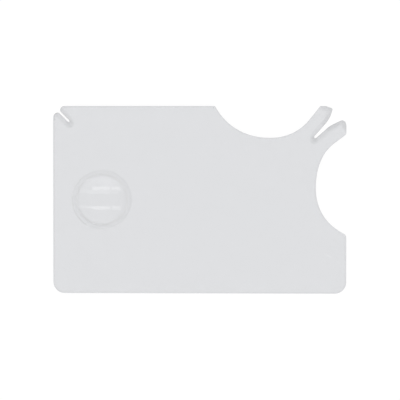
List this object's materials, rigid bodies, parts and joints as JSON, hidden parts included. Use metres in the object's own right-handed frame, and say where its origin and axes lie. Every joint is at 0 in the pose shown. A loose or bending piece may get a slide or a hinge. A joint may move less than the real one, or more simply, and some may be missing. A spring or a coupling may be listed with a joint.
{
  "type": "tick removal card",
  "caption": "Flat clear plastic pocket card with a forked slot between two finger bows, a fine slot in the far corner and a small round magnifier, for lifting ticks off the skin.",
  "frame": {"origin": "middle of the card's underside", "axes": "+X along the card's length towards the forked corner, +Y across its width towards the edge with the slots, +Z through its thickness, out of the ramped face"},
  "size_m": [0.0844, 0.054, 0.002],
  "materials": {
    "card_plastic": "clear, polished on both faces",
    "lens_plastic": "clear, optically polished"
  },
  "bodies": {
    "root": {"card_body": "card_plastic", "magnifier_lens": "lens_plastic"}
  },
  "joints": []
}
